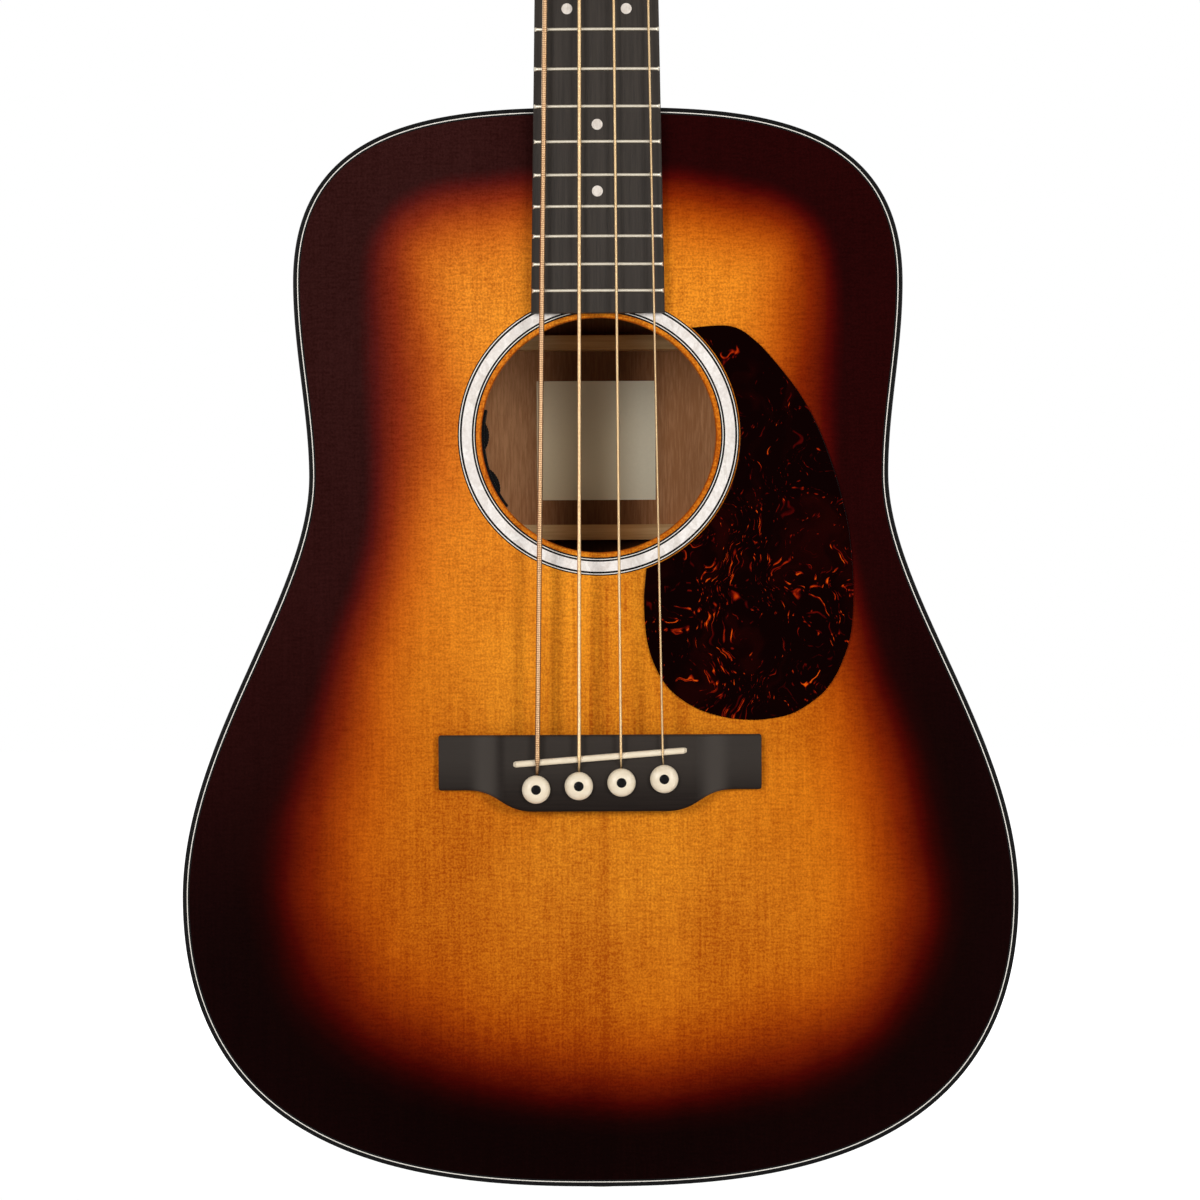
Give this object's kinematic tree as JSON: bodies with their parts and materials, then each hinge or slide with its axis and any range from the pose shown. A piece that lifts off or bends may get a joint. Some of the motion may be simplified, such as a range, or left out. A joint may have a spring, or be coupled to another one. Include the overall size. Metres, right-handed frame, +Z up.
{
  "type": "acoustic bass guitar",
  "caption": "Short-scale acoustic bass guitar with a sunburst dreadnought body, round soundhole, pickguard, pin bridge and geared tuners that turn.",
  "frame": {"origin": "under the middle of the whole guitar, at the height of the end pin's outer face", "axes": "+Z up along the neck towards the headstock, +X to the treble side, -Y out of the face of the top"},
  "size_m": [0.3624, 0.1298, 0.9617],
  "materials": {
    "sunburst_top": "spruce with an orange to black sunburst under gloss lacquer",
    "stained_mahogany": "dark stained mahogany under satin lacquer",
    "inner_wood": "bare planed spruce and mahogany",
    "ebony": "oiled dark fingerboard wood",
    "black_binding": "black plastic scraped flush and polished",
    "ivory_plastic": "warm off-white plastic and bone",
    "pearl": "grey-white pearl inlay between black and white lines",
    "tortoiseshell": "dark red-brown mottled sheet",
    "bronze": "wound bronze strings",
    "nickel": "polished nickel plate",
    "steel": "plain turned steel",
    "black_plastic": "black moulded plastic",
    "label_paper": "blank paper"
  },
  "bodies": {
    "root": {"top_binding": "black_binding", "top_purfling": "ivory_plastic", "back_binding": "black_binding", "string_e": "bronze", "string_a": "bronze", "string_d": "bronze", "string_g": "bronze", "soundboard": "sunburst_top", "rosette": "pearl", "pickguard": "tortoiseshell", "back_plate": "stained_mahogany", "side_bass": "stained_mahogany", "side_treble": "stained_mahogany", "top_lining_bass": "inner_wood", "top_lining_treble": "inner_wood", "back_lining_bass": "inner_wood", "back_lining_treble": "inner_wood", "neck_block": "inner_wood", "tail_block": "inner_wood", "x_brace_bass": "inner_wood", "x_brace_treble": "inner_wood", "upper_transverse_brace": "inner_wood", "tone_bar_upper": "inner_wood", "tone_bar_lower": "inner_wood", "bridge_plate": "inner_wood", "bridge": "ebony", "saddle_pickup": "black_plastic", "saddle": "ivory_plastic", "bridge_pin_e": "ivory_plastic", "bridge_pin_a": "ivory_plastic", "bridge_pin_d": "ivory_plastic", "bridge_pin_g": "ivory_plastic", "back_brace_1": "inner_wood", "back_brace_2": "inner_wood", "back_brace_3": "inner_wood", "back_brace_4": "inner_wood", "label": "label_paper", "fingerboard": "ebony", "nut": "ivory_plastic", "neck": "stained_mahogany", "head_veneer": "ebony", "truss_rod": "steel", "tuner_plate_e": "nickel", "tuner_plate_a": "nickel", "tuner_plate_d": "nickel", "tuner_plate_g": "nickel", "preamp": "black_plastic", "end_pin_jack": "nickel", "heel_strap_button": "nickel"},
    "key_e": {"tuner_key_e": "nickel"},
    "key_a": {"tuner_key_a": "nickel"},
    "key_d": {"tuner_key_d": "nickel"},
    "key_g": {"tuner_key_g": "nickel"},
    "post_e": {"tuner_post_e": "nickel"},
    "post_a": {"tuner_post_a": "nickel"},
    "post_d": {"tuner_post_d": "nickel"},
    "post_g": {"tuner_post_g": "nickel"},
    "volume": {"volume_wheel": "black_plastic"},
    "tone": {"tone_wheel": "black_plastic"},
    "rod_nut": {"truss_rod_nut": "steel"}
  },
  "joints": [
    {"name": "key_e_turn", "type": "hinge", "parent": "root", "child": "key_e", "pos_m": [-0.023, -0.02322, 0.84864], "axis": [1, 0, 0], "continuous": true},
    {"name": "key_a_turn", "type": "hinge", "parent": "root", "child": "key_a", "pos_m": [-0.0205, -0.01063, 0.90321], "axis": [1, 0, 0], "continuous": true},
    {"name": "key_d_turn", "type": "hinge", "parent": "root", "child": "key_d", "pos_m": [0.0205, -0.01063, 0.90321], "axis": [1, 0, 0], "continuous": true},
    {"name": "key_g_turn", "type": "hinge", "parent": "root", "child": "key_g", "pos_m": [0.023, -0.02322, 0.84864], "axis": [1, 0, 0], "continuous": true},
    {"name": "post_e_turn", "type": "hinge", "parent": "root", "child": "post_e", "pos_m": [-0.023, -0.04077, 0.86377], "axis": [0, -0.9744, 0.225], "continuous": true},
    {"name": "post_a_turn", "type": "hinge", "parent": "root", "child": "post_a", "pos_m": [-0.0205, -0.02817, 0.91834], "axis": [0, -0.9744, 0.225], "continuous": true},
    {"name": "post_d_turn", "type": "hinge", "parent": "root", "child": "post_d", "pos_m": [0.0205, -0.02817, 0.91834], "axis": [0, -0.9744, 0.225], "continuous": true},
    {"name": "post_g_turn", "type": "hinge", "parent": "root", "child": "post_g", "pos_m": [0.023, -0.04077, 0.86377], "axis": [0, -0.9744, 0.225], "continuous": true},
    {"name": "volume_turn", "type": "hinge", "parent": "root", "child": "volume", "pos_m": [-0.0583, -0.04392, 0.3339], "axis": [0, -1, 0], "range_deg": [-135, 135]},
    {"name": "tone_turn", "type": "hinge", "parent": "root", "child": "tone", "pos_m": [-0.0535, -0.04392, 0.31075], "axis": [0, -1, 0], "range_deg": [-135, 135]},
    {"name": "rod_nut_turn", "type": "hinge", "parent": "root", "child": "rod_nut", "pos_m": [0, -0.04152, 0.42], "axis": [0, 0, 1], "range_deg": [-180, 180]}
  ],
  "couplings": [
    {"joint": "post_e_turn", "follows": "key_e_turn", "ratio": -0.05},
    {"joint": "post_a_turn", "follows": "key_a_turn", "ratio": -0.05},
    {"joint": "post_d_turn", "follows": "key_d_turn", "ratio": -0.05},
    {"joint": "post_g_turn", "follows": "key_g_turn", "ratio": -0.05}
  ]
}
